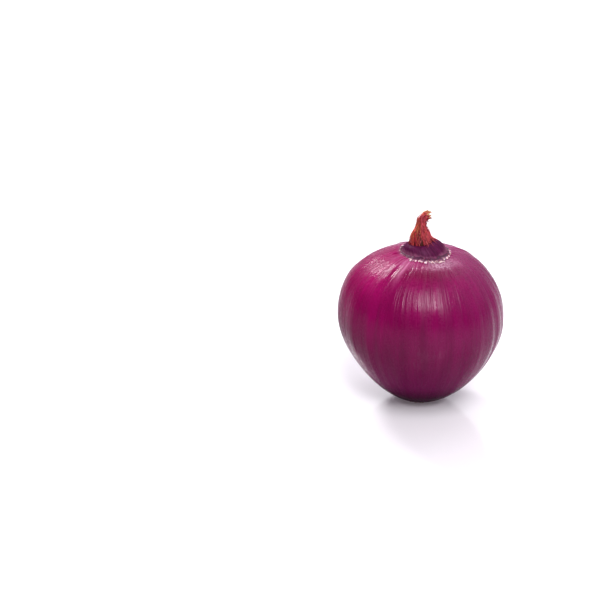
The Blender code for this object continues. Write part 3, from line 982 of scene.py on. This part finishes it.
LEFT_FRONT = Vector((-0.94, -0.34, 0))
CURL = (
    (-5.9, -1.5, 72.8), (-6.7, -2.0, 75.4), (-6.6, -2.2, 78.2), (-5.1, -1.9, 79.9),
    (-4.3, -1.7, 80.8), (-3.7, -1.4, 81.6), (-3.3, -1.3, 82.8),
)
CURL_STRIPS = ((1.7, (0.66, 0.0)), (0.5, (0.76, 0.1)), (0.35, (0.60, 0.3)), (0.3, (0.80, 0.0)))
curl = along_curve([Vector(point) * MM for point in CURL], 15)
for step, (breadth, finish) in enumerate(CURL_STRIPS):
    path = [point + Vector((0.28 * step, -0.45 * step, 0.1 * step)) * MM for point in curl]
    lay_strip(path, LEFT_FRONT, breadth * MM, 0.5, finish, taper=0.7)
print("loose strips:", len(SCRAPS) + len(CURL_STRIPS))

# %% Strands over the collar
STRANDS = 40
axis = Vector((neck_foot.x, 0, 0))
for number in range(STRANDS):
    turn = math.radians(draw.uniform(-78, 25) if number % 3 else draw.uniform(-200, 25))
    outward = spoke(turn)
    aside = square_to(outward) * draw.uniform(-0.8, 0.8) * MM
    lowest = draw.uniform(5.5, 7.6) * MM if number % 3 else draw.uniform(5.4, 6.0) * MM
    end = axis + outward * lowest + aside
    on_collar = skin_height(axis + outward * 5.6 * MM)
    knots = [
        axis + outward * draw.uniform(2.6, 3.4) * MM - aside + Vector((0, 0, draw.uniform(77.5, 81.0) * MM)),
        axis + outward * 4.2 * MM + Vector((0, 0, 76.2 * MM)),
        axis + outward * 5.1 * MM + Vector((0, 0, on_collar + 0.6 * MM)),
        end + Vector((0, 0, skin_height(end) + 0.12 * MM)),
    ]
    finish = (draw.choice((0.34, 0.5, 0.6, 0.72)), draw.uniform(0.5, 1.0))
    lay_strip(along_curve(knots, 16), outward, draw.uniform(0.14, 0.34) * MM, 0.4, finish, columns=2)
print("strands over the collar:", STRANDS)

# %% Frayed tip
TIP_FIBRES, GOLDEN_STRIPS = 56, 15
STRIP_THICKNESS = 0.10 * MM
for number in range(TIP_FIBRES):
    turn = FULL_TURN * number / TIP_FIBRES + draw.uniform(-0.1, 0.1)
    place = ring_place(draw.uniform(0.80, 0.93))
    outward = spoke(turn)
    upper_side = clamp(0.5 - 0.5 * outward.x)
    length = draw.uniform(0.8, 2.0) * MM
    spread = draw.uniform(0.0, 0.5 + 0.5 * upper_side) * MM
    sideways = square_to(outward) * draw.uniform(-0.6, 0.6) * MM
    start = outward * draw.uniform(1.2, 1.7) * MM
    ahead = Vector((0, 0, length))
    bent = start + ahead + outward * spread + sideways
    knots = [start, start + ahead * 0.4, start + ahead * 0.8 + outward * spread * 0.6, bent]
    path = [place @ point for point in interpolate_bezier(*knots, 8)]
    facing = (place.to_3x3() @ outward).normalized()
    tint = draw.choice((0.82, 0.90, 1.0, 0.96) if upper_side > 0.35 else (0.05, 0.2, 0.42, 0.9))
    lay_strip(path, facing, draw.uniform(0.2, 0.6) * MM, 0.4, (tint, 0.0), columns=2)
for number in range(GOLDEN_STRIPS):
    turn = math.pi + draw.uniform(-0.9, 0.9)
    start, end = draw.uniform(0.72, 0.84), draw.uniform(0.92, 1.03)
    neck_strip(turn + NECK_TWIST * FULL_TURN * start, start, end, draw.uniform(0.16, 0.34),
               draw.uniform(0.35, 0.6), 0.0, (draw.choice((0.1, 0.5, 0.70, 0.82)), 0.0),
               peel=draw.uniform(0.0, 0.4), wander=0.3, steps=12)
thicken(strips, STRIP_THICKNESS)
print("all strips:", len(strips.verts), "points,", len(strips.faces), "faces")

# %% [markdown]
# ## Dry sheath and torn skin
# Dry sheath is paper thin. Its colour changes from strip to strip, from wine red through orange to
# straw, so each strip carries a tint, and a colour ramp turns tints into colours. The tip has dried to
# gold and the foot is darker. Fine fibres run along it. The torn skin has its own paler finish: it is
# dark and violet where it leaves the collar, and almost white at its edge.

# %% Dry sheath material
SHEATH_TINTS = (
    (0.00, (0.050, 0.012, 0.007)),
    (0.14, (0.110, 0.009, 0.013)),
    (0.30, (0.250, 0.017, 0.028)),
    (0.46, (0.375, 0.032, 0.048)),
    (0.60, (0.450, 0.055, 0.050)),
    (0.74, (0.520, 0.084, 0.045)),
    (0.86, (0.480, 0.165, 0.075)),
    (1.00, (0.58, 0.36, 0.15)),
)
sheath, shader, tree = new_material("dry_sheath")
strip_tint, _, strip_rosy = parts_of(attribute(tree, "look"))
where = object_place(tree)
height = parts_of(where)["Z"]
patches = stretched_noise(where, 0.35, 700.0, detail=3.0)
fibres = stretched_noise(where, 0.12, 2600.0, shift=(2.0, 3.0, 1.0))
drying = ranged(height, 85.8 * MM, 87.4 * MM, 0.0, 0.36)
foot_dark = ranged(height, 72.5 * MM, 76.5 * MM, -0.20, 0.0)
tint = plus(strip_tint, ranged(patches, 0.3, 0.7, -0.12, 0.12), plus(drying, foot_dark))
ramp = add_node(tree, "ValToRGB", {"Fac": tint})
stops = ramp.color_ramp.elements
stops.remove(stops[1])
stops[0].color = (*SHEATH_TINTS[0][1], 1.0)
for position, stop in SHEATH_TINTS[1:]:
    stops.new(position).color = (*stop, 1.0)
rosy = times(strip_rosy, ranged(tint, 0.2, 0.6, 0.1, 0.65))
sheath_colour = mixed(rosy, ramp.outputs["Color"], (0.52, 0.105, 0.150))
fill(shader, {
    "Base Color": mixed(1.0, sheath_colour, ranged(fibres, 0.35, 0.65, 0.70, 1.30), "MULTIPLY"),
    "Roughness": 0.5,
    "IOR": 1.4,
    "Subsurface Weight": 0.12,
    "Subsurface Radius": (1.0, 0.4, 0.3),
    "Subsurface Scale": 0.6 * MM,
    "Normal": bumped(fibres, 0.8, 0.05 * MM),
})

neck_strips = add_piece("neck_strips", strips, sheath)
neck_core = add_piece("neck_core", neck, sheath)
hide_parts("dried_neck")
for piece in (neck_strips, neck_core):
    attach(piece, "root")
print("dry sheath on", neck_strips.name, "and", neck_core.name)

# %% Torn skin material
torn_skin, shader, tree = new_material("torn_skin")
edge_look, ruffled, along_share = parts_of(attribute(tree, "look"))
patches = stretched_noise(object_place(tree), 1.0, 900.0, detail=3.0)
paleness = plus(edge_look, ranged(patches, 0.3, 0.7, -0.45, 0.35))
# Painted shade: the torn skin is darker in the valleys of its ruffles and lighter on their crests.
ruffle_shaded_colour = mixed(ranged(ruffled, -0.8, 0.8), (0.100, 0.020, 0.050), (0.235, 0.075, 0.140))
near_collar = ranged(along_share, 0.22, 0.56, 1.0, 0.0, smooth=True)
fill(shader, {
    "Base Color": layered(
        ruffle_shaded_colour,
        (near_collar, (0.072, 0.008, 0.040)),
        (ranged(paleness, 0.16, 0.54), (0.74, 0.52, 0.55)),
    ),
    "Roughness": 0.4,
    "IOR": 1.4,
    "Subsurface Weight": 0.15,
    "Subsurface Scale": 0.5 * MM,
})
torn_frill = add_piece("torn_frill", frill, torn_skin)
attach(torn_frill, "root")
print("torn skin on", torn_frill.name)

# %% [markdown]
# ## The root plate and its roots
# Underneath, the stem of the onion is a corky disc, and the roots that grew from it are dry and clipped
# short. The disc is turned from an outline and roughened with noise. Its underside stays within the
# flat spot of the solid, so the onion still stands on it. Each root is a small tube along a curve. The
# photo shows none of them, so the roots in front are the shortest.

# %% Corky disc
PLATE_RADIUS = DIMPLE_RADIUS - JOINT_GAP
PLATE_TOP = DIMPLE_RIM_HEIGHT + DIMPLE_DEPTH - JOINT_GAP
PLATE_SIDES = 144
FLAT_RADIUS, FLAT_RINGS = 6.3 * MM, 20
plate, plate_look = new_shape()
profile = [Vector((FLAT_RADIUS * number / FLAT_RINGS, 0, 0)) for number in range(FLAT_RINGS + 1)]
profile += [Vector((radius * MM, 0, height * MM)) for radius, height in ((6.6, 0.1), (6.85, 0.3), (7.0, 0.6))]
profile += [Vector((PLATE_RADIUS, 0, height * MM)) for height in (0.9, 1.2, 1.6, 2.1, 2.6)]
profile += [Vector((PLATE_RADIUS, 0, PLATE_TOP)), Vector((0, 0, PLATE_TOP))]
spin_round(plate, [plate.verts.new(point) for point in profile], PLATE_SIDES)
for vert in plate.verts:
    radius = math.hypot(vert.co.x, vert.co.y)
    lumps = noise.noise(vert.co / (1.3 * MM)) + 0.6 * noise.noise(vert.co / (0.5 * MM))
    if vert.co.z < 0.05 * MM:
        vert.co.z = clamp(0.16 + 0.22 * lumps + 0.25 * bell(radius, 0, 2.5 * MM), 0.0) * MM
    elif vert.co.z < PLATE_TOP - 0.1 * MM:
        vert.co *= 1 - 0.02 * clamp(0.5 + lumps)
    vert[plate_look] = Vector((clamp(0.45 + 0.5 * lumps), radius / PLATE_RADIUS, 0.0))
face_outwards(plate)
print("corky disc:", len(plate.verts), "points")

# %% Roots
ROOT_SIDES, ROOT_STEPS = 6, 5
RIM_ROOTS, UNDERSIDE_ROOTS = 96, 150
GOLDEN_ANGLE = math.radians(137.508)
UP = Vector((0, 0, 1)) * MM
roots, root_look = new_shape()


def grow_root(knots, thickness, tint):
    """One dry root: rings along a curve, bridged and closed at both ends. It thins a little."""
    path = interpolate_bezier(*knots, ROOT_STEPS)
    rings = []
    for number, point in enumerate(path):
        ahead = path[min(number + 1, ROOT_STEPS - 1)] - path[max(number - 1, 0)]
        place = Matrix.Translation(point) @ ahead.to_track_quat("Z", "Y").to_matrix().to_4x4()
        share = number / (ROOT_STEPS - 1)
        radius = thickness * (1 - 0.35 * share) * (1 + 0.35 * noise.noise(point / (0.4 * MM)))
        verts = bmesh.ops.create_circle(roots, radius=radius, segments=ROOT_SIDES, matrix=place)["verts"]
        for vert in verts:
            vert[root_look] = Vector((tint, share, 0.0))
        rings.append(edges_of(verts))
    join_rings(roots, rings)


for angle in spread_round(RIM_ROOTS, 0.4):
    outward = spoke(angle)
    aside = square_to(outward) * draw.uniform(-0.7, 0.7) * MM
    length = draw.uniform(0.3, 1.2) * (1 - 0.9 * near(angle, -90, 0.9)) * MM
    thickness = draw.uniform(0.12, 0.32) * MM
    low = max(draw.uniform(0.2, 0.7) * MM, thickness + 0.05 * MM)
    start = outward * (PLATE_RADIUS - 0.5 * MM) + Vector((0, 0, draw.uniform(0.6, 0.9) * MM))
    end = outward * (PLATE_RADIUS + length) + aside + Vector((0, 0, low))
    knots = [start, start + outward * 0.5 * MM, end - outward * 0.4 * length - aside * 0.2, end]
    grow_root(knots, thickness, draw.uniform(0.3, 1.0))
for number in range(UNDERSIDE_ROOTS):
    distance = PLATE_RADIUS * 0.93 * math.sqrt((number + 0.5) / UNDERSIDE_ROOTS)
    foot = spoke(number * GOLDEN_ANGLE) * distance
    thickness = draw.uniform(0.15, 0.34) * MM
    end = foot + foot.normalized() * draw.uniform(0.0, 0.35) * MM
    knots = [foot + UP * 0.7, foot + UP * 0.5, end + UP * 0.3, end + UP * draw.uniform(0.05, 0.25)]
    grow_root(knots, thickness, draw.uniform(0.0, 0.8))
face_outwards(roots)
print("roots:", len(roots.verts), "points,", len(roots.faces), "faces")

# %% Dry root material
dry_root, shader, tree = new_material("dry_root")
root_tint = parts_of(attribute(tree, "look"))["X"]
cork = stretched_noise(object_place(tree), 1.0, 1500.0, detail=4.0, roughness=0.65)
tint = ranged(plus(root_tint, ranged(cork, 0.3, 0.7, -0.3, 0.3)), 0.0, 1.0)
fill(shader, {
    "Base Color": mixed(tint, (0.115, 0.055, 0.030), (0.56, 0.41, 0.24)),
    "Roughness": 0.85,
    "Normal": bumped(cork, 0.9, 0.12 * MM),
})
root_disc = add_piece("root_disc", plate, dry_root)
clipped_roots = add_piece("clipped_roots", roots, dry_root)
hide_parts("root_plate")
for piece in (root_disc, clipped_roots):
    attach(piece, "root")
